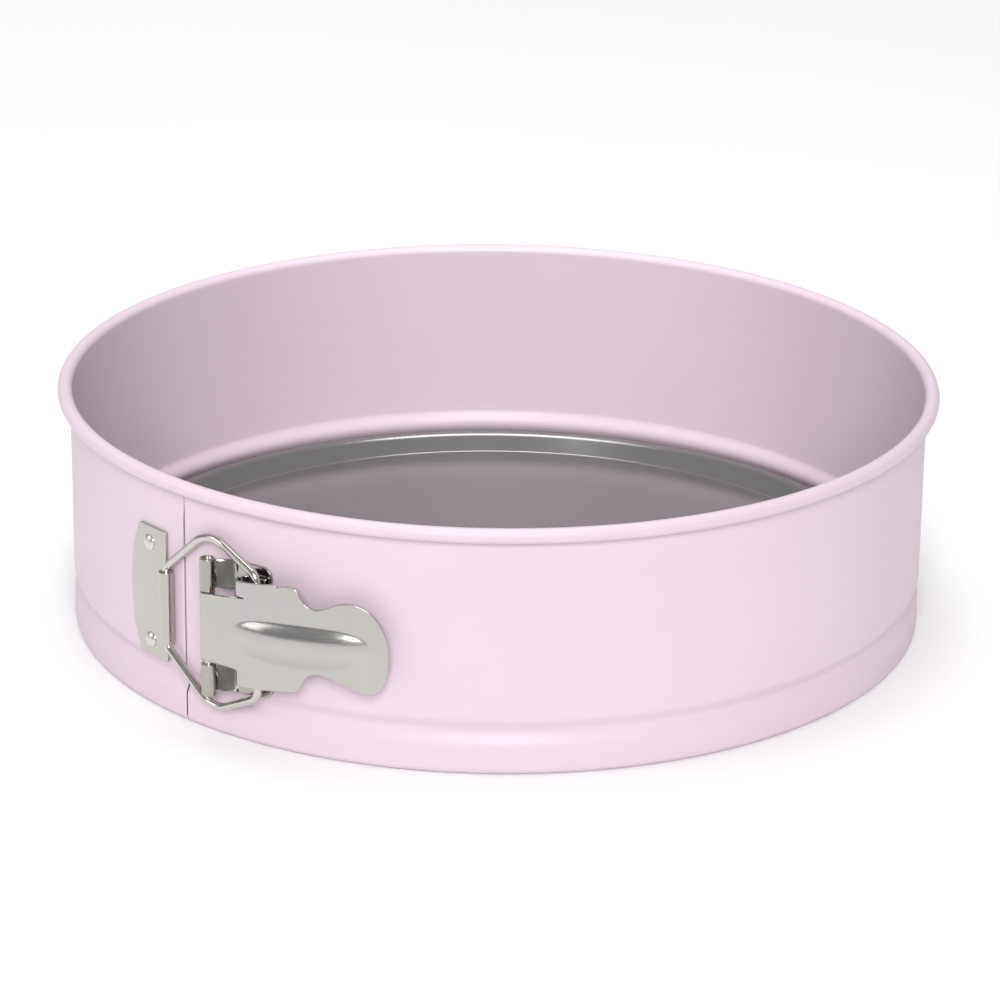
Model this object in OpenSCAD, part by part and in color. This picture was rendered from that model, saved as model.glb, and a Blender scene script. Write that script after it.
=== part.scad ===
// Springform cake pan: split steel band, drop-in base and an over-centre lever latch.
// Millimetres, +Z up. Origin on the band's axis, at the plane the pan rests on.

/* [Band] */
// outer radius of the upright wall
wall_r = 115.6; // [112:0.1:119]
// overall height of the band
band_h = 66.9; // [60:0.1:74]
// sheet thickness of the band
band_t = 0.6; // [0.4:0.1:0.8]
// outer radius of the rolled rim's tube
rim_tube_r = 1.95; // [1.6:0.05:2.4]
// height of the inward bead's centre
bead_z = 12.2; // [10:0.1:14]
// depth of the inward bead
bead_depth = 1.7; // [1:0.1:2.2]
// half height of the inward bead, seen from outside
bead_half = 3.9; // [3:0.1:5]
// radius of the turned-in foot
foot_r = 2.0; // [1.4:0.1:2.6]
// inner radius of the bottom lip
lip_r = 111.3; // [110:0.1:112.5]
// gap between the two ends at the seam, in degrees
seam_gap = 0.15; // [0.1:0.05:0.4]
// length of the lap tongue behind the seam, in degrees
tongue_deg = 4.0; // [2:0.5:6]

/* [Base] */
// outer radius of the drop-in base
base_r = 113.05; // [112:0.05:113.1]
// sheet thickness of the base
base_t = 0.8; // [0.5:0.1:1.2]
// height of the base's floor
floor_z = 5.1; // [4:0.1:7]
// height of the base's raised edge
crest_z = 9.4; // [8:0.1:10.5]
// outer radius of the flat floor
floor_r = 107.0; // [100:0.5:108]

/* [Latch] */
// height of the latch's centre line
latch_z = 31.7; // [28:0.1:36]
// sheet thickness of the brackets and the lever
plate_t = 0.8; // [0.6:0.1:1.2]
// diameter of the hinge pin
pin_d = 2.2; // [1.8:0.1:3]
// diameter of the bail's wire
wire_d = 2.0; // [1.6:0.1:2.6]
// half height of the lever's own curl
curl_half = 9.6; // [8:0.1:11]
// half height of the whole hinge
hinge_half = 18.6; // [16:0.1:20]
// radius of the arc the lever is bent to
lever_arc_r = 100; // [90:1:115]
// height the stiffening rib stands above the lever
rib_rise = 1.3; // [0.6:0.1:2]
// radius of the rivet heads
rivet_r = 2.1; // [1.8:0.1:2.8]

/* [Hidden] */
$fn = 96;
wall_in = wall_r - band_t;
seam_a = -145;
back_a = 35;
bead_ro = (bead_half * bead_half + bead_depth * bead_depth) / (2 * bead_depth);
bead_c = wall_r - bead_depth + bead_ro;
rim_c = wall_in + rim_tube_r;
rim_z = band_h - rim_tube_r;
face_gap = 0.05;
plate_ri = wall_r + face_gap;
plate_ro = plate_ri + plate_t;

// hinge pin, bail pivot and hook leg, as radius and angle
pin_rad = 120.6;
pin_a = -138.85;
piv_rad = plate_ro + wire_d / 2 + 0.1 + 0.05;
piv_a = -147.5;
leg_rad = 119.85;
leg_a = -131.8;
pin_hole = pin_d / 2 + 0.02;
curl_bore = pin_d / 2 + 0.08;
knuckle_r = pin_d / 2 + 0.08 + plate_t - 0.03;
piv_bore = wire_d / 2 + 0.1;
piv_curl = piv_bore + plate_t;

// the lever is bent round its own axis, off the pan's
lever_off = pin_rad + knuckle_r - 0.12 - lever_arc_r;
lever_a = -139;
view_a = -127.5;
rib_circle = 3.4;
rib_z = latch_z + 2.4;

// bail path in its own plane: distance from the pivot, height over the latch line
bail_run = norm(polar(leg_rad, leg_a) - polar(piv_rad, piv_a));
bail_pts = [
    [0, 10.3],
    [15.6, 23.2],
    [bail_run, 16.6],
    [bail_run, -16.4],
    [16.6, -23.6],
    [0, -11.4]
];
bail_rad = [2.2, 5, 3.2, 3.2, 5, 2.2];
// the bends are a hair fatter than the straight runs, which reach a little way into them
wire_swell = 0.02;
wire_lap = 0.12;

function polar(r, a) = [r * cos(a), r * sin(a)];
function unit(v) = v / norm(v);
function turn(a, b, c) = acos(max(-1, min(1, unit(b - a) * unit(c - b))));
function tan_len(i) = bail_rad[i] * tan(turn(prev_pt(i), bail_pts[i], next_pt(i)) / 2);
function prev_pt(i) = bail_pts[(i + 5) % 6];
function next_pt(i) = bail_pts[(i + 1) % 6];
function spline(p, q, r, s, t) = 0.5 * (2 * q + (r - p) * t + (2 * p - 5 * q + 4 * r - s) * t * t
    + (3 * q - p - 3 * r + s) * t * t * t);

// a curved sheet between two radii, from angle a0 over da, z0 to z1
module shell(ri, ro, a0, da, z0, z1)
    rotate([0, 0, a0])
        rotate_extrude(angle = da, $fn = 360)
            translate([ri, z0])
                square([ro - ri, z1 - z0]);

// cross-section of the band: wall, rolled rim, inward bead, turned-in foot and lip
module band_profile() {
    difference() {
        translate([wall_in, foot_r])
            square([band_t, rim_z - foot_r]);
        translate([bead_c, bead_z])
            circle(r = bead_ro + band_t);
    }
    intersection() {
        difference() {
            translate([bead_c, bead_z])
                circle(r = bead_ro + band_t);
            translate([bead_c, bead_z])
                circle(r = bead_ro);
        }
        translate([wall_in - 4, bead_z - 6])
            square([4 + band_t, 12]);
    }
    difference() {
        translate([rim_c, rim_z])
            circle(r = rim_tube_r);
        translate([rim_c, rim_z])
            circle(r = rim_tube_r - band_t);
    }
    intersection() {
        difference() {
            translate([wall_r - foot_r, foot_r])
                circle(r = foot_r);
            translate([wall_r - foot_r, foot_r])
                circle(r = foot_r - band_t);
        }
        translate([wall_r - foot_r, 0])
            square([foot_r, foot_r]);
    }
    translate([lip_r, 0])
        square([wall_r - foot_r - lip_r, band_t]);
}

module rivet_hole(a, z, r)
    rotate([0, 0, a])
        translate([wall_in - 3, 0, z])
            rotate([0, 90, 0])
                cylinder(r = r, h = 8);

module band_right() {
    color("Thistle") {
        difference() {
            union() {
                rotate([0, 0, seam_a])
                    rotate_extrude(angle = 180, $fn = 360)
                        band_profile();
                shell(wall_in - 0.6, wall_in + 0.3, seam_a + 0.1, 0.6, 18.3, 60.2);
                shell(wall_in - 0.9, wall_in - 0.3, seam_a - tongue_deg, tongue_deg + 0.4, 18, 60.5);
            }
            rivet_hole(hinge_rivet_a, latch_z + hinge_rivet_z, rivet_shank + 0.02);
            rivet_hole(hinge_rivet_a, latch_z - hinge_rivet_z, rivet_shank + 0.02);
        }
    }
}

module band_left() {
    color("Thistle")
        difference() {
            rotate([0, 0, back_a])
                rotate_extrude(angle = 180 - seam_gap, $fn = 360)
                    band_profile();
            rivet_hole(bail_rivet_a, bail_rivet_z0, rivet_shank + 0.02);
            rivet_hole(bail_rivet_a, bail_rivet_z1, rivet_shank + 0.02);
        }
}

// drop-in base: flat floor, sloped step, raised edge and a short skirt standing on the lip
module base_plate() {
    color("DimGray")
        rotate_extrude($fn = 360)
            polygon([
                [0, floor_z],
                [floor_r, floor_z],
                [floor_r + 3.6, crest_z - 0.5],
                [floor_r + 4.1, crest_z - 0.1],
                [floor_r + 4.7, crest_z],
                [base_r - 0.7, crest_z - 0.2],
                [base_r - 0.15, crest_z - 0.7],
                [base_r, crest_z - 1.4],
                [base_r, band_t + 0.05],
                [base_r - base_t, band_t + 0.05],
                [base_r - base_t, crest_z - 1.5],
                [base_r - base_t - 0.3, crest_z - 0.9],
                [floor_r + 4.7, crest_z - base_t],
                [floor_r + 4.2, crest_z - base_t - 0.15],
                [floor_r + 0.35, floor_z - base_t],
                [0, floor_z - base_t]
            ]);
}

// rivets: domed head outside, shank through bracket and wall, low head inside
rivet_shank = 1.2;
hinge_rivet_a = -133.6;
hinge_rivet_z = 5;
bail_rivet_a = -151.6;
bail_rivet_z0 = 19.1;
bail_rivet_z1 = 46.0;

module rivet(a, z) {
    rotate([0, 0, a])
        translate([0, 0, z])
            rotate([0, 90, 0]) {
                translate([0, 0, wall_in - 0.3])
                    cylinder(r = rivet_shank, h = plate_ro - wall_in + 0.6);
                translate([0, 0, wall_in - 0.55])
                    cylinder(r = rivet_r, h = 0.5);
                intersection() {
                    translate([0, 0, plate_ro - 2.2])
                        sphere(r = 3.15);
                    translate([0, 0, plate_ro])
                        cylinder(r = rivet_r, h = 2);
                }
            }
}

module hinge_rivet_upper() {
    color("Silver")
        rivet(hinge_rivet_a, latch_z + hinge_rivet_z);
}

module hinge_rivet_lower() {
    color("Silver")
        rivet(hinge_rivet_a, latch_z - hinge_rivet_z);
}

module bail_rivet_upper() {
    color("Silver")
        rivet(bail_rivet_a, bail_rivet_z1);
}

module bail_rivet_lower() {
    color("Silver")
        rivet(bail_rivet_a, bail_rivet_z0);
}

// rod and tube on the hinge pin's axis
module pin_rod(z0, h, r)
    translate([pin_rad * cos(pin_a), pin_rad * sin(pin_a), z0])
        cylinder(r = r, h = h);

module pin_tube(z0, h, ro, ri)
    difference() {
        pin_rod(z0, h, ro);
        pin_rod(z0 - 1, h + 2, ri);
    }

// strap from the wall plate out to the inner side of a knuckle
hb_left = -135.9;
hb_right = -130.7;
hb_half = 17.9;
hb_width = 2 * plate_ro * sin((hb_right - hb_left) / 2);

module strap(z0, h)
    translate([0, 0, z0])
        linear_extrude(height = h)
            difference() {
                polygon([
                    polar(plate_ri, hb_left + 0.6),
                    polar(plate_ro, hb_left + 0.6),
                    polar(plate_ro + 0.1, hb_left),
                    polar(pin_rad - knuckle_r + plate_t + 0.1, pin_a + 0.7),
                    polar(pin_rad - knuckle_r + plate_t, pin_a),
                    polar(pin_rad - knuckle_r, pin_a),
                    polar(pin_rad - knuckle_r, pin_a + 0.5),
                    polar(plate_ri, hb_left)
                ]);
                translate(polar(pin_rad, pin_a))
                    circle(r = pin_hole);
            }

module hinge_bracket() {
    color("Silver")
        difference() {
            union() {
                intersection() {
                    shell(plate_ri, plate_ro, hb_left, hb_right - hb_left, latch_z - 20, latch_z + 20);
                    rotate([90, 0, (hb_left + hb_right) / 2 + 90])
                        linear_extrude(height = 140)
                            translate([0, latch_z])
                                plate_outline(hb_width, 2 * hb_half, 3);
                }
                strap(latch_z + curl_half + 0.8, hb_half - curl_half - 1.1);
                strap(latch_z - hb_half + 0.3, hb_half - curl_half - 1.1);
                pin_tube(latch_z + curl_half + 0.3, hinge_half - curl_half - 0.3, knuckle_r, pin_hole);
                pin_tube(latch_z - hinge_half, hinge_half - curl_half - 0.3, knuckle_r, pin_hole);
            }
            rivet_hole(hinge_rivet_a, latch_z + hinge_rivet_z, rivet_shank + 0.02);
            rivet_hole(hinge_rivet_a, latch_z - hinge_rivet_z, rivet_shank + 0.02);
        }
}

// upright plate with its two far corners rounded
module plate_outline(w, h, r) {
    translate([-w / 2, -h / 2])
        square([w - r, h]);
    translate([-w / 2, -h / 2 + r])
        square([w, h - 2 * r]);
    translate([w / 2 - r, h / 2 - r])
        circle(r = r);
    translate([w / 2 - r, -h / 2 + r])
        circle(r = r);
}

module hinge_pin() {
    color("Gray")
        pin_rod(latch_z - hinge_half + 0.5, 2 * hinge_half - 1, pin_d / 2);
}

// outline of the lever, drawn flat: along the wall, height over the latch line
lever_soft = [
    [-6, 15.7],
    [-2, 15.9],
    [1.4, 16.1],
    [4.1, 14.0],
    [7.6, 11.3],
    [14.3, 13.2],
    [18.5, 13.9],
    [23.4, 11.0],
    [26.3, 3.6],
    [25.9, -4.6],
    [22.8, -9.7],
    [17.8, -9.3],
    [11.4, -6.3],
    [7.6, -6.2],
    [4.9, -9.0],
    [2.0, -11.8],
    [-2, -12.3],
    [-6, -12.6]
];
lever_arc = [
    for (i = [1 : len(lever_soft) - 3])
        for (k = [0 : 4])
            spline(lever_soft[i - 1], lever_soft[i], lever_soft[i + 1], lever_soft[i + 2], k / 5)
];

module lever_outline()
    polygon(concat(
        [[-24.1, 0.2 - curl_half], [-24.1, curl_half - 0.2], [-11.4, 11.0], [-11.4, 15.3]],
        lever_arc,
        [[-2, -12.3], [-6, -12.7], [-11.4, -13.0], [-11.4, -8.7], [-12.0, -8.7]]
    ));

// things drawn round the lever's own bending axis
module on_lever_axis()
    translate([lever_off * cos(lever_a), lever_off * sin(lever_a), 0])
        children();

module lever_blank()
    intersection() {
        on_lever_axis()
            shell(lever_arc_r - plate_t, lever_arc_r, -141, 45, latch_z - 20, latch_z + 20);
        rotate([90, 0, view_a + 90])
            translate([0, latch_z, 0])
                linear_extrude(height = 140)
                    lever_outline();
    }

rib_arc_r = 58;
rib_a = -124.6;

// long pillow bent tighter than the lever, so that it sinks into the sheet at both ends
module rib_body(r)
    on_lever_axis()
        rotate([0, 0, rib_a])
            translate([lever_arc_r + rib_rise - rib_arc_r, 0, 0])
                rotate([0, 0, -30])
                    rotate_extrude(angle = 60, $fn = 360)
                        translate([rib_arc_r - rib_circle, rib_z])
                            circle(r = r);

// rolled tab that hooks round the bail's leg and opens towards the handle
hook_in = 1.98;
hook_c = 119.62;
hook_run = 3.4;
hook_eps = 0.03;

module hook(z0, h)
    rotate([0, 0, leg_a])
        translate([0, 0, z0])
            linear_extrude(height = h)
                difference() {
                    union() {
                        translate([hook_c, -hook_run])
                            circle(r = hook_in + plate_t);
                        translate([hook_c - hook_in - plate_t + hook_eps, -hook_run])
                            square([plate_t + 0.5, hook_run + 1.2]);
                        translate([hook_c + hook_in - 0.5, -hook_run])
                            square([plate_t + 0.5 - hook_eps, hook_run - 0.4]);
                    }
                    translate([hook_c, -hook_run])
                        circle(r = hook_in);
                    translate([hook_c - hook_in + hook_eps, -hook_run])
                        square([2 * (hook_in - hook_eps), hook_run + 8]);
                }

module lever() {
    color("Gainsboro") {
        difference() {
            union() {
                lever_blank();
                pin_tube(latch_z - curl_half, 2 * curl_half, knuckle_r, curl_bore);
                intersection() {
                    rib_body(rib_circle);
                    on_lever_axis()
                        shell(lever_arc_r - plate_t, lever_arc_r + 4, -141, 45, latch_z - 20, latch_z + 20);
                }
            }
            rib_body(rib_circle - plate_t);
            pin_rod(latch_z - curl_half - 1, 2 * curl_half + 2, curl_bore);
        }
        hook(latch_z + 11.25, 3.9);
        hook(latch_z - 12.85, 3.95);
    }
}

// one straight length of wire between the bends at corners i and j
module wire_run(i, j) {
    a = bail_pts[i] + unit(bail_pts[j] - bail_pts[i]) * tan_len(i);
    b = bail_pts[j] + unit(bail_pts[i] - bail_pts[j]) * tan_len(j);
    d = b - a;
    u = unit(d) * wire_lap;
    translate([a[0] - u[0], a[1] - u[1], 0])
        rotate([0, 0, atan2(d[1], d[0])])
            rotate([0, 90, 0])
                cylinder(r = wire_d / 2, h = norm(d) + 2 * wire_lap);
}

// the bend at corner i; the path runs clockwise, so the bend's centre is on its right
module wire_bend(i) {
    u = unit(bail_pts[i] - prev_pt(i));
    ang = turn(prev_pt(i), bail_pts[i], next_pt(i));
    a = bail_pts[i] - u * tan_len(i);
    c = a + [u[1], -u[0]] * bail_rad[i];
    s = a - c;
    translate([c[0], c[1], 0])
        rotate([0, 0, atan2(s[1], s[0]) - ang])
            rotate_extrude(angle = ang)
                translate([bail_rad[i], 0])
                    circle(r = wire_d / 2 + wire_swell, $fn = 48);
}

module bail() {
    k = polar(piv_rad, piv_a);
    q = polar(leg_rad, leg_a);
    color("LightGray")
        translate([k[0], k[1], latch_z])
            rotate([0, 0, atan2(q[1] - k[1], q[0] - k[0])])
                rotate([90, 0, 0]) {
                    for (i = [0 : 5]) {
                        wire_run(i, (i + 1) % 6);
                        wire_bend(i);
                    }
                }
}

// left bracket: bowed plate with a rolled tongue that holds the bail
bb_z0 = 14.8;
bb_z1 = 50.6;
bb_left = 12.4;
bb_bow = 3.8;
tongue_z0 = latch_z - 10.3;
tongue_z1 = latch_z + 9.2;

module bail_bracket_outline() {
    hh = (bb_z1 - bb_z0) / 2;
    rr = (hh * hh + bb_bow * bb_bow) / (2 * bb_bow);
    intersection() {
        translate([-bb_left - bb_bow, -hh])
            square([bb_left + bb_bow, 2 * hh]);
        translate([-bb_left - bb_bow + rr, 0])
            circle(r = rr, $fn = 180);
    }
}

module bail_bracket() {
    k = polar(piv_rad, piv_a);
    color("Silver")
        difference() {
            union() {
                intersection() {
                    shell(plate_ri, plate_ro, piv_a - 12, 12, 10, 55);
                    rotate([90, 0, piv_a + 90])
                        translate([0, (bb_z0 + bb_z1) / 2, 0])
                            linear_extrude(height = 140)
                                bail_bracket_outline();
                }
                translate([k[0], k[1], tongue_z0])
                    cylinder(r = piv_curl, h = tongue_z1 - tongue_z0);
                translate([k[0], k[1], tongue_z0 - 1.6])
                    rotate([0, 0, piv_a])
                        intersection() {
                            cylinder(r = piv_curl, h = tongue_z1 - tongue_z0 + 3.0);
                            translate([-3, -3.9, 0])
                                cube([6, 3, 40]);
                        }
            }
            translate([k[0], k[1], tongue_z0 - 5])
                cylinder(r = piv_bore, h = 40);
            rivet_hole(bail_rivet_a, bail_rivet_z0, rivet_shank + 0.02);
            rivet_hole(bail_rivet_a, bail_rivet_z1, rivet_shank + 0.02);
        }
}

band_right();
band_left();
base_plate();
hinge_bracket();
hinge_rivet_upper();
hinge_rivet_lower();
hinge_pin();
lever();
bail();
bail_bracket();
bail_rivet_upper();
bail_rivet_lower();
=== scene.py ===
"""Looks of the springform pan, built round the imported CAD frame.

Shapes are in millimetres and degrees, in the frame's own axes. Band, base and
sheet metal are drawn here; the rivets and the hinge pin keep their CAD mesh.
"""

import math

import bmesh
import bpy
import numpy as np
from mathutils import Matrix, Vector, geometry


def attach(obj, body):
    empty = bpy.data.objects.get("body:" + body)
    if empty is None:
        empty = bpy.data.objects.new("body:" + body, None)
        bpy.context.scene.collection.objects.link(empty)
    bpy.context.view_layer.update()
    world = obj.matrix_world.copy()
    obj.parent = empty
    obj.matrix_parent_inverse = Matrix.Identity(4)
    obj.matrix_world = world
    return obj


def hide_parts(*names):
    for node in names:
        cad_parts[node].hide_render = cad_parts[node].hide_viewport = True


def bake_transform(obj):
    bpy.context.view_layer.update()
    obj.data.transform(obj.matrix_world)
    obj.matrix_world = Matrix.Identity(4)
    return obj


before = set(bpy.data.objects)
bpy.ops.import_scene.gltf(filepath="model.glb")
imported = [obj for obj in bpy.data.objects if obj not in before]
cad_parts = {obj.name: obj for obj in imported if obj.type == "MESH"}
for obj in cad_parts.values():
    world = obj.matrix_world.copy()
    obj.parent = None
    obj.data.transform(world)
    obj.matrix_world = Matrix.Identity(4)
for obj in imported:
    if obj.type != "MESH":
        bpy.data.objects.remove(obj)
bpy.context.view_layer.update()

MM = 0.001

# ---------------------------------------------------------------- camera

# the photograph's viewpoint, in metres
EYE = Vector((-0.2163, -1.0208, 0.4260))
AIM = Vector((0.0007, -0.0001, 0.0300))
ROLL = 0.0122
LENS = 146.7
SENSOR = 36


def add_object(name, data):
    obj = bpy.data.objects.new(name, data)
    bpy.context.scene.collection.objects.link(obj)
    return obj


def add_camera():
    data = bpy.data.cameras.new("camera")
    data.sensor_width = SENSOR
    data.lens = LENS
    data.clip_start = 0.05
    data.clip_end = 50
    cam = add_object("camera", data)
    ahead = (AIM - EYE).normalized()
    level = ahead.cross(Vector((0, 0, 1))).normalized()
    above = level.cross(ahead)
    right = math.cos(ROLL) * level + math.sin(ROLL) * above
    up = math.cos(ROLL) * above - math.sin(ROLL) * level
    turned = Matrix((right, up, -ahead)).transposed().to_4x4()
    cam.matrix_world = Matrix.Translation(EYE) @ turned
    bpy.context.scene.camera = cam


add_camera()

# ---------------------------------------------------------------- plane geometry


def polar(r, a):
    return np.array([r * math.cos(math.radians(a)), r * math.sin(math.radians(a))])


def direction(v):
    return math.degrees(math.atan2(v[1], v[0]))


def arc_points(cx, cy, r, a0, a1, n):
    """n + 1 points on an arc, angles in degrees."""
    a = np.radians(np.linspace(a0, a1, n + 1))
    return np.column_stack([cx + r * np.cos(a), cy + r * np.sin(a)])


def join_path(*parts):
    """One polyline from several, without doubled points."""
    out = [np.asarray(parts[0][0], float)]
    for part in parts:
        for p in part:
            if np.linalg.norm(np.asarray(p) - out[-1]) > 1e-6:
                out.append(np.asarray(p, float))
    return np.array(out)


def mirrored(points):
    """The points in reverse order, with their second value negated."""
    return [(u, -y) for u, y in points[::-1]]


def path_normals(path):
    """Unit normals to the left of a polyline."""
    step = np.diff(path, axis=0)
    step /= np.linalg.norm(step, axis=1)[:, None]
    mid = np.vstack([step[:1], step[:-1] + step[1:], step[-1:]])
    mid /= np.linalg.norm(mid, axis=1)[:, None]
    return np.column_stack([-mid[:, 1], mid[:, 0]])


def rounded(points, radii, n):
    """A polyline with its inner corners rounded, n steps to a corner."""
    points = [np.asarray(p, float) for p in points]
    out = [points[0]]
    for before, at, after, r in zip(points, points[1:], points[2:], radii):
        u = (before - at) / np.linalg.norm(before - at)
        v = (after - at) / np.linalg.norm(after - at)
        turn = math.acos(max(-1, min(1, float(u @ v))))
        if r <= 0 or turn > math.pi - 1e-3:
            out.append(at)
            continue
        run = r / math.tan(turn / 2)
        centre = at + (u + v) / np.linalg.norm(u + v) * (r / math.sin(turn / 2))
        p, q = at + u * run - centre, at + v * run - centre
        a0, a1 = math.atan2(p[1], p[0]), math.atan2(q[1], q[0])
        if a1 - a0 > math.pi:
            a1 -= 2 * math.pi
        if a0 - a1 > math.pi:
            a1 += 2 * math.pi
        out.extend(arc_points(*centre, r, math.degrees(a0), math.degrees(a1), n))
    out.append(points[-1])
    return np.array(out)


def spline(points, n=8):
    """Catmull-Rom curve through all but the first and last point."""
    pts = [np.asarray(p, float) for p in points]
    out = []
    for p, q, r, s in zip(pts, pts[1:], pts[2:], pts[3:]):
        for k in range(n):
            t = k / n
            out.append(0.5 * (2 * q + (r - p) * t + (2 * p - 5 * q + 4 * r - s) * t * t
                              + (3 * q - p - 3 * r + s) * t ** 3))
    out.append(pts[-2])
    return out


def dense(outline, step):
    """A closed outline with points about step apart."""
    out = []
    for p, q in zip(outline, np.roll(outline, -1, axis=0)):
        n = max(1, int(math.ceil(np.linalg.norm(q - p) / step)))
        out.extend(p + (q - p) * k / n for k in range(n))
    return np.array(out)


def tangents(outline):
    """Unit direction of travel at each point of a closed outline."""
    ahead = np.roll(outline, -1, axis=0) - np.roll(outline, 1, axis=0)
    return ahead / np.linalg.norm(ahead, axis=1)[:, None]


def inside(points, outline):
    """Which points are inside a closed outline."""
    x, y = points[:, 0], points[:, 1]
    hit = np.zeros(len(points), bool)
    for (x0, y0), (x1, y1) in zip(outline, np.roll(outline, -1, axis=0)):
        if y0 == y1:
            continue
        cross = (y0 > y) != (y1 > y)
        hit ^= cross & (x < (x1 - x0) * (y - y0) / (y1 - y0) + x0)
    return hit


def strip_section(path, thick):
    """Closed outline of a sheet that follows path, with rounded raw edges."""
    n = path_normals(path)
    half = thick / 2
    left, right = path + n * half, path - n * half
    tail_a, head_a = direction(n[-1]), direction(-n[0])
    tail = arc_points(*path[-1], half, tail_a, tail_a - 180, 4)[1:-1]
    head = arc_points(*path[0], half, head_a, head_a - 180, 4)[1:-1]
    return np.vstack([left, tail, right[::-1], head])


# ---------------------------------------------------------------- mesh tools


def add_mesh(name, verts, faces, material):
    """A smooth-shaded mesh from points in millimetres."""
    mesh = bpy.data.meshes.new(name)
    mesh.from_pydata((np.asarray(verts, float) * MM).tolist(), [], faces)
    mesh.validate()
    mesh.shade_smooth()
    obj = add_object(name, mesh)
    mesh.materials.append(material)
    return obj


def tube_faces(rings, n, closed=False):
    """Quads between successive rings of n points each."""
    faces = []
    for i in range(rings if closed else rings - 1):
        near, far = i * n, (i + 1) % rings * n
        for k in range(n):
            m = (k + 1) % n
            faces.append((near + k, near + m, far + m, far + k))
    return faces


def tidy_normals(obj):
    """Consistent outward faces, with flats shaded flat and rounded edges soft."""
    bm = bmesh.new()
    bm.from_mesh(obj.data)
    bmesh.ops.remove_doubles(bm, verts=bm.verts, dist=2e-7)
    bmesh.ops.recalc_face_normals(bm, faces=bm.faces)
    bm.to_mesh(obj.data)
    bm.free()
    obj.data.shade_smooth()
    weighted = obj.modifiers.new("even_shading", "WEIGHTED_NORMAL")
    weighted.mode = "FACE_AREA"
    weighted.weight = 60
    return obj


# ---------------------------------------------------------------- materials

NOISE_LOW, NOISE_HIGH = 0.3, 0.7  # the part of the noise's range that is used


def new_material(name):
    mat = bpy.data.materials.new(name)
    mat.use_nodes = True
    tree = mat.node_tree
    return mat, tree, tree.nodes["Principled BSDF"]


def noise(tree, scale, detail, rough=0.5, stretch=None):
    coord = tree.nodes.new("ShaderNodeTexCoord")
    source = coord.outputs["Object"]
    if stretch:
        mapping = tree.nodes.new("ShaderNodeMapping")
        mapping.inputs["Scale"].default_value = stretch
        tree.links.new(source, mapping.inputs["Vector"])
        source = mapping.outputs["Vector"]
    tex = tree.nodes.new("ShaderNodeTexNoise")
    tex.inputs["Scale"].default_value = scale
    tex.inputs["Detail"].default_value = detail
    tex.inputs["Roughness"].default_value = rough
    tree.links.new(source, tex.inputs["Vector"])
    return tex.outputs["Fac"]


def tint(tree, shader, fac, low, high):
    """Base colour between two close shades."""
    node = tree.nodes.new("ShaderNodeValToRGB")
    ends = node.color_ramp.elements
    ends[0].position, ends[1].position = NOISE_LOW, NOISE_HIGH
    ends[0].color, ends[1].color = (*low, 1), (*high, 1)
    tree.links.new(fac, node.inputs["Fac"])
    tree.links.new(node.outputs["Color"], shader.inputs["Base Color"])


def roughen(tree, shader, fac, low, high):
    """Roughness between two values."""
    node = tree.nodes.new("ShaderNodeMapRange")
    node.inputs["From Min"].default_value = NOISE_LOW
    node.inputs["From Max"].default_value = NOISE_HIGH
    node.inputs["To Min"].default_value = low
    node.inputs["To Max"].default_value = high
    tree.links.new(fac, node.inputs["Value"])
    tree.links.new(node.outputs["Result"], shader.inputs["Roughness"])


def bump(tree, shader, height, strength, distance, under=None):
    node = tree.nodes.new("ShaderNodeBump")
    node.inputs["Strength"].default_value = strength
    node.inputs["Distance"].default_value = distance
    tree.links.new(height, node.inputs["Height"])
    if under is not None:
        tree.links.new(under, node.inputs["Normal"])
    tree.links.new(node.outputs["Normal"], shader.inputs["Normal"])
    return node.outputs["Normal"]


def paint_material():
    """Pale lilac-pink satin coating, with a faint orange peel."""
    mat, tree, shader = new_material("band_paint")
    tint(tree, shader, noise(tree, 14, 3), (0.642, 0.526, 0.600), (0.660, 0.543, 0.615))
    roughen(tree, shader, noise(tree, 60, 3), 0.44, 0.52)
    shader.inputs["Specular IOR Level"].default_value = 0.38
    shader.inputs["Coat Weight"].default_value = 0.08
    shader.inputs["Coat Roughness"].default_value = 0.22
    peel = bump(tree, shader, noise(tree, 900, 2), 0.06, 0.0002)
    bump(tree, shader, noise(tree, 4500, 2), 0.05, 0.00005, peel)
    return mat


def base_material():
    """Dark grey non-stick coating with a fine metallic grain."""
    mat, tree, shader = new_material("base_coating")
    tint(tree, shader, noise(tree, 3500, 2), (0.195, 0.190, 0.189), (0.245, 0.240, 0.238))
    roughen(tree, shader, noise(tree, 25, 3), 0.14, 0.18)
    shader.inputs["Metallic"].default_value = 0.6
    bump(tree, shader, noise(tree, 2500, 2), 0.10, 0.0001)
    return mat


def steel_material(name, colour, rough, grain, strength, stretch=(1, 1, 1)):
    """Plated steel: a little cloudy, slightly rippled, with a fine streak."""
    mat, tree, shader = new_material(name)
    warm = tuple(c * k for c, k in zip(colour, (1.03, 1.02, 0.98)))
    tint(tree, shader, noise(tree, 90, 3), colour, warm)
    shader.inputs["Metallic"].default_value = 1.0
    streak = noise(tree, grain, 3, 0.6, stretch)
    roughen(tree, shader, streak, *rough)
    ripple = bump(tree, shader, noise(tree, 120, 1), 0.10, 0.0004)
    ripple = bump(tree, shader, noise(tree, 1300, 2), 0.10, 0.00012, ripple)
    bump(tree, shader, streak, strength, 0.00004, ripple)
    return mat


ROLLED = (1, 1, 14)  # sheet steel is streaked along its rolling direction
PAINT = paint_material()
COATING = base_material()
SHEET = steel_material("plated_sheet", (0.498, 0.486, 0.474), (0.16, 0.26), 260, 0.25, ROLLED)
# the hinge bracket is the same plated steel as the other sheet; its darker colour is painted
# shade and painted dark reflection on the straps, its lower roughness is real
SHADED_STRAP = steel_material("strap_sheet_shaded", (0.40, 0.385, 0.37), (0.09, 0.16), 260, 0.25, ROLLED)
WIRE = steel_material("plated_wire", (0.58, 0.565, 0.54), (0.10, 0.18), 500, 0.15)
RIVET = steel_material("rivet_metal", (0.64, 0.64, 0.635), (0.28, 0.38), 800, 0.2)

# ---------------------------------------------------------------- band

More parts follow.
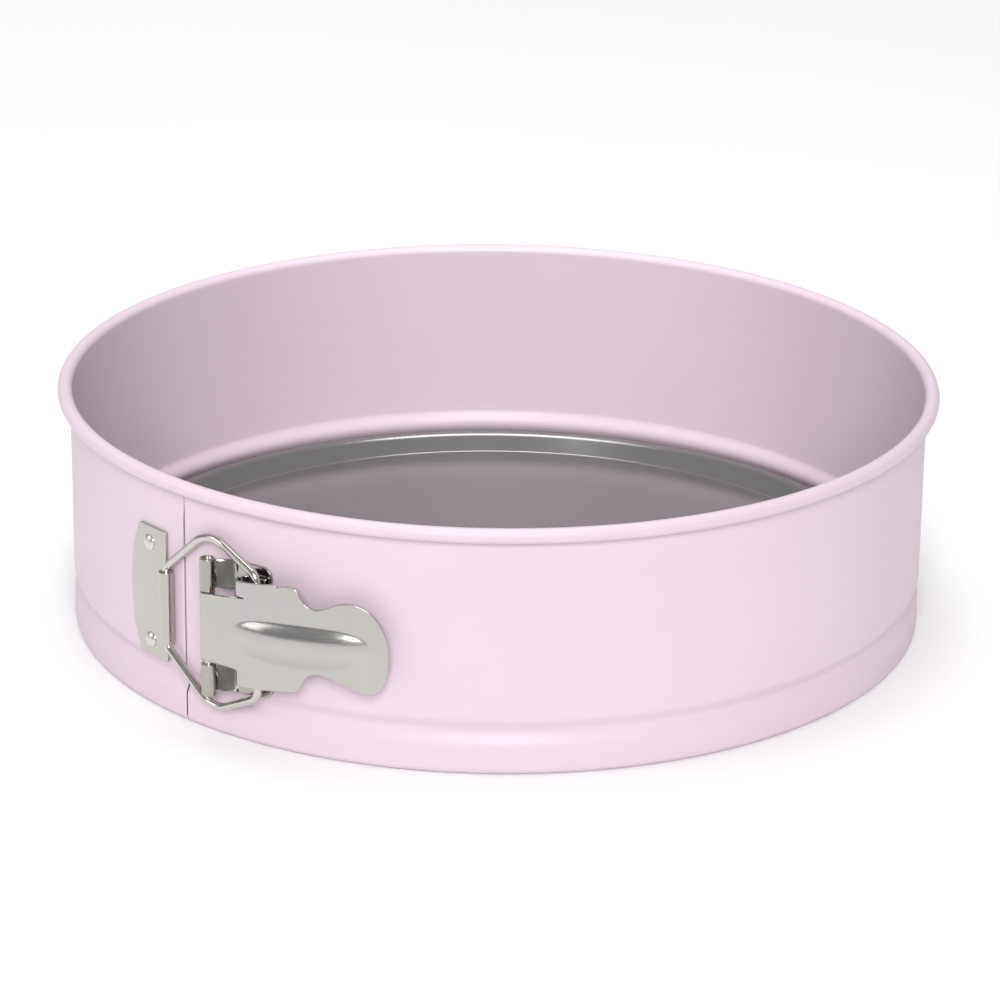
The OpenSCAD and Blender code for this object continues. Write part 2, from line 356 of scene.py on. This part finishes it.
SEAM_A = -145.0  # bearing of the seam
SEAM_GAP = 0.32  # its opening in degrees, on the wall
RIM_GAP = 0.012  # and in the rolled rim, whose ends meet
RIM_Z = 62.6  # where the rolled rim begins
WALL_MID = 115.3  # radius of the middle of the sheet
BAND_T = 0.6
LIP_R = 111.6  # raw edge of the turned-in foot
FOOT_R = 1.7
RIM_C = (116.95, 64.95)
RIM_R = 1.65
BEAD_Z = 11.6
BEAD_DEPTH = 1.35
BEAD_W = 4.1  # half height of the bead
BAND_STEPS = 480
SEAM_LEAD = [0.0, 0.05, 0.12, 0.25, 0.45]  # degrees from a cut end
SEAM_ROUND = [0.45, 0.12]  # how far the last rings close in on the middle line


def band_path():
    """Middle line of the band's sheet as radius and height, lip to rolled rim."""
    low = BAND_T / 2
    lip = [(LIP_R, low), (LIP_R + 0.9, low)]
    foot = arc_points(WALL_MID - FOOT_R, low + FOOT_R, FOOT_R, -90, 0, 8)
    z = np.linspace(BEAD_Z - BEAD_W, BEAD_Z + BEAD_W, 37)
    dent = 0.5 + 0.5 * np.cos(np.pi * (z - BEAD_Z) / BEAD_W)
    bead = np.column_stack([WALL_MID - BEAD_DEPTH * dent, z])
    below = [(WALL_MID, h) for h in (3.5, 5.5)]
    above = [(WALL_MID, h) for h in (18.5, 22, 32, 44, 54, 60, 62.5, 64)]
    roll = arc_points(*RIM_C, RIM_R, 180, -128, 44)
    return join_path(lip, foot, below, bead, above, roll)


def ring_angles(z):
    """Sweep angles at height z, closer together beside the seam."""
    gap = SEAM_GAP if z < RIM_Z else RIM_GAP
    body = np.linspace(0.75, 360 - 0.75 - SEAM_GAP, BAND_STEPS - 1)
    tail = [360 - gap - a for a in SEAM_LEAD[::-1]]
    return np.radians(SEAM_A + np.concatenate([SEAM_LEAD, body, tail]))


def add_band():
    """One skin for both halves; it parts at the seam."""
    mid = band_path()
    section = strip_section(mid, BAND_T)
    n = len(section)
    rings = len(ring_angles(0))
    verts = np.zeros((rings, n, 3))
    for k, (r, z) in enumerate(section):
        near = mid[np.argmin(np.hypot(mid[:, 0] - r, mid[:, 1] - z))]
        a = ring_angles(z)
        rr, zz = np.full(rings, r), np.full(rings, z)
        for end, share in enumerate(SEAM_ROUND):
            for i in (end, rings - 1 - end):
                rr[i] += (near[0] - r) * share
                zz[i] += (near[1] - z) * share
        verts[:, k] = np.column_stack([rr * np.cos(a), rr * np.sin(a), zz])
    faces = tube_faces(rings, n)
    last = (rings - 1) * n
    for k in range(n // 2 - 1):
        faces.append((k, n - 1 - k, n - 2 - k, k + 1))
        faces.append((last + k, last + k + 1, last + n - 2 - k, last + n - 1 - k))
    obj = add_mesh("band", verts.reshape(-1, 3), faces, PAINT)
    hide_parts("band_right", "band_left")
    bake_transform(obj)
    return obj


# ---------------------------------------------------------------- seam lap

LAP_REACH = 4.0  # degrees the tongue runs behind the left half
LAP_ROOT = 0.5
LAP_R = (114.1, 114.7)
LAP_Z = [18.0, 18.15, 60.35, 60.5]


def add_seam_lap():
    """The tongue behind the seam, joined to the band's right end."""
    a = np.radians(np.linspace(SEAM_A - LAP_REACH, SEAM_A + LAP_ROOT, 12))
    verts, faces = [], []
    for r in LAP_R:
        for h in LAP_Z:
            verts.extend(zip(r * np.cos(a), r * np.sin(a), [h] * len(a)))
    n, m = len(a), len(LAP_Z)
    skin = n * m
    for i in range(n - 1):
        for k in range(m - 1):
            p = k * n + i
            faces.append((p, p + 1, p + n + 1, p + n))
            faces.append((p + skin, p + skin + n, p + skin + n + 1, p + skin + 1))
        faces.append((i, i + skin, i + 1 + skin, i + 1))
        t = (m - 1) * n + i
        faces.append((t, t + 1, t + 1 + skin, t + skin))
    for k in range(m - 1):
        p = k * n
        faces.append((p, p + n, p + n + skin, p + skin))
        p = k * n + n - 1
        faces.append((p, p + skin, p + n + skin, p + n))
    obj = add_mesh("seam_lap", verts, faces, PAINT)
    bevel = obj.modifiers.new("soft_edges", "BEVEL")
    bevel.width = 0.0001
    bevel.segments = 2
    bevel.limit_method = "ANGLE"
    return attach(obj, "ring")


# ---------------------------------------------------------------- base

BASE_T = 0.8
BASE_R = 113.05
FLOOR_R, FLOOR_Z = 106.5, 5.1  # edge of the flat floor, and its height
RIDGE_R, RIDGE_Z = 110.75, 10.0  # inner edge and height of the raised ridge
SKIRT_Z = 0.65  # lower edge of the skirt


def add_lathe(name, profile, steps, material):
    """A closed profile, from the axis out and back to it, turned round Z."""
    profile = np.asarray(profile, float)
    a = np.radians(np.linspace(0, 360, steps, endpoint=False))
    verts, index = [], []
    for r, z in profile:
        if r < 1e-6:
            index.append([len(verts)] * steps)
            verts.append((0, 0, z))
        else:
            index.append(list(range(len(verts), len(verts) + steps)))
            verts.extend(zip(r * np.cos(a), r * np.sin(a), [z] * steps))
    faces = []
    for low, high in zip(index, index[1:]):
        for i in range(steps):
            j = (i + 1) % steps
            face = list(dict.fromkeys([low[i], low[j], high[j], high[i]]))
            if len(face) > 2:
                faces.append(face)
    return add_mesh(name, verts, faces, material)


def add_base():
    floor = (0, 40, 80)  # rings across the flat floor
    top = [(r, FLOOR_Z) for r in floor]
    top += [(FLOOR_R, FLOOR_Z), (RIDGE_R, RIDGE_Z), (BASE_R, RIDGE_Z), (BASE_R, SKIRT_Z)]
    top = rounded(top, [0, 0, 0.9, 3.2, 0.5], 12)
    inner_r, inner_z, under_z = BASE_R - BASE_T, RIDGE_Z - 1.0, FLOOR_Z - BASE_T
    under = [(inner_r, SKIRT_Z), (inner_r, inner_z), (RIDGE_R + 0.55, inner_z)]
    under += [(FLOOR_R + 0.25, under_z)] + [(r, under_z) for r in floor[::-1]]
    under = rounded(under, [0.35, 2.0, 1.6, 0, 0], 6)
    # an extra ring holds the floor flat right up to its rounded edge
    hold_r = FLOOR_R - 1.3
    at = next(i for i, p in enumerate(top) if p[0] > hold_r)
    profile = np.vstack([top[:at], [(hold_r, FLOOR_Z)], top[at:], under])
    obj = add_lathe("base_dish", profile[::-1], 480, COATING)
    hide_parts("base_plate")
    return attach(obj, "base")


# ---------------------------------------------------------------- latch

LATCH_Z = 31.7  # height of the lever's middle line
PLATE_T = 0.8
PLATE_OUT = 116.45  # radius of the brackets' shown face
BRACKET_HALF = 17.9
PIN_RAD = 120.6
PIN = polar(PIN_RAD, -138.85)
PIVOT = polar(117.6, -147.5)  # the bail in its bracket
LEG_A = -131.8
LEG = polar(119.85, LEG_A)  # the bail in the lever's hooks
KNUCKLE_R = 1.95
BORE_R = 1.15

# ---------------------------------------------------------------- sheet metal

OUTLINE_STEP = 0.45
PLATE_GRID = (0.3, 0.5)
LEVER_GRID = (0.36, 0.4)


class Track:
    """A path in plan, sampled by length, with the direction from the shown
    face of a sheet to its hidden one."""

    def __init__(self, path, start, inward):
        self.path = np.asarray(path, float)
        step = np.linalg.norm(np.diff(self.path, axis=0), axis=1)
        self.at = start + np.concatenate([[0], np.cumsum(step)])
        self.normal = path_normals(self.path) * inward

    def __call__(self, u):
        p = np.column_stack([np.interp(u, self.at, self.path[:, k]) for k in (0, 1)])
        n = np.column_stack([np.interp(u, self.at, self.normal[:, k]) for k in (0, 1)])
        return p, n / np.linalg.norm(n, axis=1)[:, None]


def add_sheet(name, outline, place, z0, grid, material, lift=None, edge=0.14):
    """A bent sheet-metal piece with rounded edges.

    outline is its flat pattern, as length along the bend and height;
    place(u, y) gives the plan point of the shown face and the direction to
    the hidden one; lift(u, y) raises the sheet.
    """
    rim = dense(np.asarray(outline, float), OUTLINE_STEP)
    area = np.sum(rim[:, 0] * np.roll(rim[:, 1], -1) - np.roll(rim[:, 0], -1) * rim[:, 1])
    if area < 0:
        rim = rim[::-1]
    ahead = tangents(rim)
    outward = np.column_stack([ahead[:, 1], -ahead[:, 0]])
    flat_rim = rim - outward * edge
    n = len(flat_rim)
    # the flat faces: the outline set in by the edge's radius, filled with a grid
    us = np.arange(rim[:, 0].min(), rim[:, 0].max(), grid[0])
    ys = np.arange(rim[:, 1].min(), rim[:, 1].max(), grid[1])
    cloud = np.array([(u, y) for u in us for y in ys])
    cloud = cloud[inside(cloud, flat_rim)]
    far = np.full(len(cloud), np.inf)
    for p in flat_rim:
        far = np.minimum(far, np.hypot(cloud[:, 0] - p[0], cloud[:, 1] - p[1]))
    cloud = cloud[far > 0.6 * min(grid)]
    flat = np.vstack([flat_rim, cloud])
    made = geometry.delaunay_2d_cdt(
        [Vector(p) for p in flat], [], [list(range(n))], 1, 1e-5
    )
    flat = np.array([tuple(p) for p in made[0]])
    tris = [tuple(f) for f in made[2]]
    loop = [int(np.argmin(np.hypot(flat[:, 0] - p[0], flat[:, 1] - p[1]))) for p in flat_rim]

    def solid(uy, depth):
        p, inward = place(uy[:, 0], uy[:, 1])
        rise = lift(uy[:, 0], uy[:, 1]) if lift else 0.0
        plan = p + inward * (depth - rise)[:, None]
        return np.column_stack([plan, z0 + uy[:, 1]])

    count = len(flat)
    verts = [solid(flat, np.zeros(count)), solid(flat, np.full(count, PLATE_T))]
    faces = tris + [tuple(i + count for i in t[::-1]) for t in tris]
    # the rounded edge: rings from the shown face over to the hidden one
    turns = [math.radians(a) for a in (30, 60, 90)]
    rings = [(edge * (1 - math.sin(a)), edge * (1 - math.cos(a))) for a in turns]
    rings += [(inset, PLATE_T - deep) for inset, deep in rings[::-1]]
    rows = [loop]
    for inset, deep in rings:
        first = sum(len(v) for v in verts)
        verts.append(solid(rim - outward * inset, np.full(n, deep)))
        rows.append(list(range(first, first + n)))
    rows.append([i + count for i in loop])
    for top, low in zip(rows, rows[1:]):
        for i in range(n):
            j = (i + 1) % n
            faces.append((top[j], top[i], low[i], low[j]))
    return tidy_normals(add_mesh(name, np.vstack(verts), faces, material))


# ---------------------------------------------------------------- lever

LEVER_R = 100.12  # radius to which the blade is bent
LEVER_AXIS = polar(PIN_RAD + KNUCKLE_R - LEVER_R, -139)
VIEW_A = -127.5  # bearing from which the blade's outline is drawn
CURL_TURN = 305
CURL_HALF = 9.55
HOOK_RAD, HOOK_BACK = 119.62, 3.4
HOOK_RUN = 4.4
TAB_X = -11.4  # root of the hooks
HOOK_UP = (11.1, 15.3)
HOOK_LOW = (-13.0, -8.8)
TIP_X = 27.5

# the rib pressed into the blade, slightly tilted, flatter on its lower side
RIB_A = -124.6
RIB_Y = 1.75
RIB_SLOPE = 0.03
RIB_RISE = 1.7
RIB_CURVE = 7.0
RIB_MID, RIB_HALF = 3.0, 19.3
# outline of the blade from the upper hook round the tip to the lower one, seen
# from VIEW_A: distance along the wall, height over the latch line
LEVER_SOFT = [
    (-10.2, 15.4), (-6, 15.9), (-3.0, 16.35), (-2.1, 15.95), (-1.0, 16.1), (0.8, 16.5),
    (2.6, 16.3), (3.7, 15.5), (4.5, 14.0), (5.9, 12.2), (8.2, 11.4), (10.8, 12.0),
    (14.4, 13.6), (17.6, 14.0), (20.8, 13.0), (23.6, 10.6), (25.7, 6.8), (26.6, 1.9),
    (26.5, -3.0), (25.7, -6.6), (24.0, -9.1), (21.7, -9.8), (19.2, -9.3), (15.3, -7.8),
    (11.5, -6.3), (8.7, -5.8), (6.2, -6.8), (4.9, -8.6), (4.2, -10.4), (2.8, -11.5),
    (-0.4, -12.0), (-6, -12.6), (-9.5, -13.1),
]


def lever_length(bearing):
    """Length along the lever's bend, from the rib's middle to a bearing."""
    return np.radians(bearing - RIB_A) * LEVER_R


def on_lever(x):
    """Length along the lever's bend, from the view-plane distance x."""
    side, look = polar(1, VIEW_A + 90), polar(1, VIEW_A)
    rel = x * side - LEVER_AXIS
    b = rel @ look
    c = rel @ rel - LEVER_R**2
    return lever_length(direction(rel + (math.sqrt(b * b - c) - b) * look))


def rib_height(u, y):
    """A long swage, its crest falling away to both ends."""
    v = y - RIB_Y - RIB_SLOPE * u
    crest = RIB_RISE * (1 - np.abs((u - RIB_MID) / RIB_HALF) ** 3)
    curve = np.where(v > 0, RIB_CURVE, 2 * RIB_CURVE)
    core = np.sqrt(np.maximum(curve**2 - v * v, 0.01)) - curve
    h = np.maximum(crest + core, -1.5)
    soft = np.where(v > 0, 0.01, 0.08)
    return 0.5 * (h + np.sqrt(h * h + soft)) * (h > -1.4)


def add_lever():
    # main track: the knuckle's raw end, round the pin, then along the blade
    to_pin = direction(PIN - LEVER_AXIS)
    u_pin = lever_length(to_pin)
    u_tip = on_lever(TIP_X)
    knuckle = LEVER_R - np.linalg.norm(PIN - LEVER_AXIS)
    tip_a = to_pin + math.degrees((u_tip - u_pin) / LEVER_R)
    curl = arc_points(*PIN, knuckle, to_pin - CURL_TURN, to_pin, 60)
    blade = arc_points(*LEVER_AXIS, LEVER_R, to_pin, tip_a, 160)
    u_end = u_pin - math.radians(CURL_TURN) * knuckle
    main_track = Track(join_path(curl, blade), u_end, 1)
    # hook track: the raw end behind the leg, round it, then out along the blade
    radial, across = polar(1, LEG_A), polar(1, LEG_A + 90)
    hook_c = radial * HOOK_RAD - across * HOOK_BACK
    to_hook = direction(hook_c - LEVER_AXIS)
    hook_r = LEVER_R - np.linalg.norm(hook_c - LEVER_AXIS)
    back = arc_points(*hook_c, hook_r, LEG_A - 180, to_hook, 40)
    arm = [back[0] + across * HOOK_RUN, back[0] + across * 0.01]
    onward = arc_points(*LEVER_AXIS, LEVER_R, to_hook, to_hook + 20, 60)
    hook_len = HOOK_RUN + math.radians(to_hook - (LEG_A - 180)) * hook_r
    u_hook = lever_length(to_hook) - hook_len
    hook_track = Track(join_path(arm, back, onward), u_hook, 1)
    u_tab = on_lever(TAB_X)

    def place(u, y):
        # above and below the knuckle, the sheet turns back into the two hooks
        p, n = main_track(u)
        q, m = hook_track(u)
        is_hook = ((y > HOOK_UP[0] + 0.05) | (y < HOOK_LOW[1])) & (u < u_tab + 3)
        pick = is_hook[:, None]
        return np.where(pick, q, p), np.where(pick, m, n)

    soft = [(on_lever(x), y) for x, y in spline(LEVER_SOFT)]
    up0, up1 = HOOK_UP
    low0, low1 = HOOK_LOW
    u_nick = u_tab - 0.25
    outline = (
        [(u_end, -CURL_HALF), (u_end, CURL_HALF), (u_pin + 0.6, CURL_HALF),
         (u_nick, up0 - 0.15), (u_tab, up0), (u_nick, up0 + 0.15),
         (u_hook, up0 + 0.2), (u_hook, up1 - 0.2), (u_tab, up1)]
        + soft
        + [(u_tab, low0), (u_hook, low0 + 0.15), (u_hook, low1 - 0.2),
           (u_nick, low1 - 0.15), (u_tab, low1), (u_nick, low1 + 0.15),
           (u_pin + 0.6, -CURL_HALF)]
    )
    obj = add_sheet("lever_sheet", outline, place, LATCH_Z, LEVER_GRID, SHEET,
                    rib_height)
    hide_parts("lever")
    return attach(obj, "lever")


# ---------------------------------------------------------------- brackets

BAIL_PLATE_A = 9.0  # degrees of wall the bail bracket covers
BAIL_PLATE_Z = 32.7
TONGUE_BACK = 1.4  # the plate's edge behind the start of the tongue
TONGUE_TURN = 285
HINGE_LEFT, HINGE_RIGHT = -135.9, -130.7
STRAP_IN, STRAP_OUT = 10.6, 17.5
STRAP_MID = 14.0
STRAP_LEAN = 0.34
OUTER_CURL_IN, OUTER_CURL_OUT = 9.95, 18.55
OUTER_CURL_TURN = 300


def add_bail_bracket():
    # the plate's shown face becomes the inside of the tongue round the wire
    a_edge = direction(PIVOT)
    start = -math.radians(BAIL_PLATE_A) * PLATE_OUT
    bore = np.linalg.norm(PIVOT) - PLATE_OUT
    plate = arc_points(0, 0, PLATE_OUT, a_edge - BAIL_PLATE_A, a_edge, 60)
    curl = arc_points(*PIVOT, bore, a_edge + 180, a_edge + 180 - TONGUE_TURN, 60)
    track = Track(join_path(plate, curl), start, 1)
    end = math.radians(TONGUE_TURN) * bore
    half, e = BRACKET_HALF, TONGUE_BACK

    def place(u, y):
        return track(u)

    shoulder = [(-12.0, half), (-12.2, half - 0.1), (-12.9, half - 0.6), (-13.3, half - 1.6),
                (-15.3, 12.0), (-16.4, 6.0)]
    bow = shoulder + [(-16.8, 0)] + mirrored(shoulder)
    y0, y1 = LATCH_Z - 10.3 - BAIL_PLATE_Z, LATCH_Z + 9.2 - BAIL_PLATE_Z
    tongue = [(0.5 - e, y1), (end * 0.25, y1), (end, y1 - 0.1),
              (end, y0 - 0.9), (end * 0.25, y0), (0.5 - e, y0)]
    outline = (
        [(-e - 0.35, half), (-e, half - 0.35), (-e, y1 + 0.5)]
        + tongue
        + [(-e, y0 - 0.5), (-e, 0.35 - half), (-e - 0.35, -half)]
        + bow[::-1]
    )
    obj = add_sheet("bail_bracket_sheet", outline, place, BAIL_PLATE_Z, PLATE_GRID, SHEET)
    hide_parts("bail_bracket")
    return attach(obj, "ring_left")


def add_hinge_bracket():
    # plate on the wall, two straps out to the pin, each rolled round it from the pan's side
    to_pin = direction(PIN)
    reach = math.radians(HINGE_RIGHT - HINGE_LEFT) * PLATE_OUT
    plate = arc_points(0, 0, PLATE_OUT, HINGE_RIGHT, HINGE_LEFT, 20)
    near = PIN - polar(1, to_pin) * BORE_R
    curl = arc_points(*PIN, BORE_R, to_pin + 180, to_pin + 180 + OUTER_CURL_TURN, 60)
    knee = rounded(np.vstack([plate[-3], plate[-1], near]), [1.0], 8)
    track = Track(join_path(plate[:-3], knee, curl), 0.0, -1)
    total = track.at[-1]
    strap = total - math.radians(OUTER_CURL_TURN) * BORE_R

    def place(u, y):
        # the straps are dished, so that their faces lean upwards
        p, n = track(u)
        t = np.clip((u - reach + 0.2) / (strap - reach + 0.2), 0, 1)
        window = np.sin(np.pi * t) ** 0.5 * (np.abs(y) > OUTER_CURL_IN - 0.05)
        dish = STRAP_LEAN * window * (y - np.sign(y) * STRAP_MID)
        return p + n * dish[:, None], n

    half = BRACKET_HALF
    corner = arc_points(3, half - 3, 3, 90, 180, 8)
    upper = [
        (reach, STRAP_IN - 0.5), (reach + 0.5, STRAP_IN), (strap - 0.8, STRAP_IN),
        (strap, OUTER_CURL_IN), (total, OUTER_CURL_IN), (total, OUTER_CURL_OUT),
        (strap, OUTER_CURL_OUT), (strap - 0.8, STRAP_OUT), (reach + 0.6, STRAP_OUT),
        (reach - 0.4, half),
    ]
    outline = np.vstack([corner, mirrored(corner), mirrored(upper), upper])
    # the plated sheet with painted shade: a darker colour for the straps' shaded look
    obj = add_sheet("hinge_bracket_sheet", outline, place, LATCH_Z, PLATE_GRID, SHADED_STRAP)
    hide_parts("hinge_bracket")
    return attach(obj, "ring")


# ---------------------------------------------------------------- bail wire

WIRE_R = 1.08
WIRE_SIDES = 24


def add_bail():
    side = LEG - PIVOT
    run = float(np.linalg.norm(side))
    along = np.array([*side / run, 0])
    depth = np.array([along[1], -along[0], 0])
    up = np.array([0, 0, 1])
    origin = np.array([*PIVOT, LATCH_Z])
    # the wire's loop from the pivot's middle, as distance towards the leg and height
    corners = [(0, 10.3), (15.8, 24.4), (run, 16.6), (run, -16.4), (16.6, -24.3), (0, -11.4)]
    radii = [2.2, 9, 3.2, 3.2, 8.5, 2.2]
    path = dense(rounded([(0, 0), *corners, (0, 0)], radii, 14)[:-1], 0.8)
    ahead = tangents(path)
    verts = []
    for p, t in zip(path, ahead):
        centre = origin + along * p[0] + up * p[1]
        across = up * t[0] - along * t[1]
        for k in range(WIRE_SIDES):
            a = 2 * math.pi * k / WIRE_SIDES
            verts.append(centre + WIRE_R * (math.cos(a) * across + math.sin(a) * depth))
    faces = tube_faces(len(path), WIRE_SIDES, closed=True)
    obj = tidy_normals(add_mesh("bail_wire", verts, faces, WIRE))
    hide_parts("bail")
    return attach(obj, "bail")


add_band()
add_seam_lap()
add_base()
add_lever()
add_bail_bracket()
add_hinge_bracket()
add_bail()

for node in (
    "hinge_rivet_upper", "hinge_rivet_lower", "hinge_pin", "bail_rivet_upper", "bail_rivet_lower",
):
    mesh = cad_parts[node].data
    mesh.materials.clear()
    mesh.materials.append(RIVET)

# ---------------------------------------------------------------- floor and light

FLOOR_SIZE = 6  # metres


def add_floor():
    mesh = bpy.data.meshes.new("floor")
    round_edge = arc_points(0, 0, FLOOR_SIZE, 0, 360, 64)[:-1]
    mesh.from_pydata([(x, y, 0) for x, y in round_edge], [], [list(range(64))])
    floor = add_object("floor", mesh)
    mat, tree, shader = new_material("floor_pale")
    tint(tree, shader, noise(tree, 3, 2), (0.905, 0.905, 0.905), (0.92, 0.92, 0.92))
    shader.inputs["Roughness"].default_value = 0.9
    shader.inputs["Specular IOR Level"].default_value = 0.1
    mesh.materials.append(mat)


def turn_to(obj, towards):
    obj.rotation_mode = "QUATERNION"
    obj.rotation_quaternion = towards.to_track_quat("-Z", "Y")


def add_area(name, where, at, size, power):
    data = bpy.data.lights.new(name, "AREA")
    data.shape = "RECTANGLE"
    data.size, data.size_y = size
    data.energy = power
    obj = add_object(name, data)
    obj.location = where
    turn_to(obj, Vector(at) - Vector(where))


def add_sun(name, where, power, angle):
    data = bpy.data.lights.new(name, "SUN")
    data.energy = power
    data.angle = math.radians(angle)
    turn_to(add_object(name, data), -Vector(where))


def add_light():
    world = bpy.data.worlds.new("studio")
    bpy.context.scene.world = world
    world.use_nodes = True
    back = world.node_tree.nodes["Background"]
    back.inputs["Color"].default_value = (1, 1, 1, 1)
    back.inputs["Strength"].default_value = 0.33
    add_sun("overhead", where=(0.0, 0.05, 1.0), power=0.7, angle=34)
    add_sun("front", where=(-0.19, -1.0, 0.62), power=2.5, angle=30)
    add_area("inner", where=(0, 0.04, 0.45), at=(0, 0.04, 0), size=(0.26, 0.16), power=0.65)
    add_area("side", where=(-1.70, -0.05, 0.85), at=(0, 0, 0.03), size=(0.9, 1.1), power=5.5)
    view = bpy.context.scene.view_settings
    view.view_transform = "Standard"
    view.look = "None"


add_floor()
add_light()
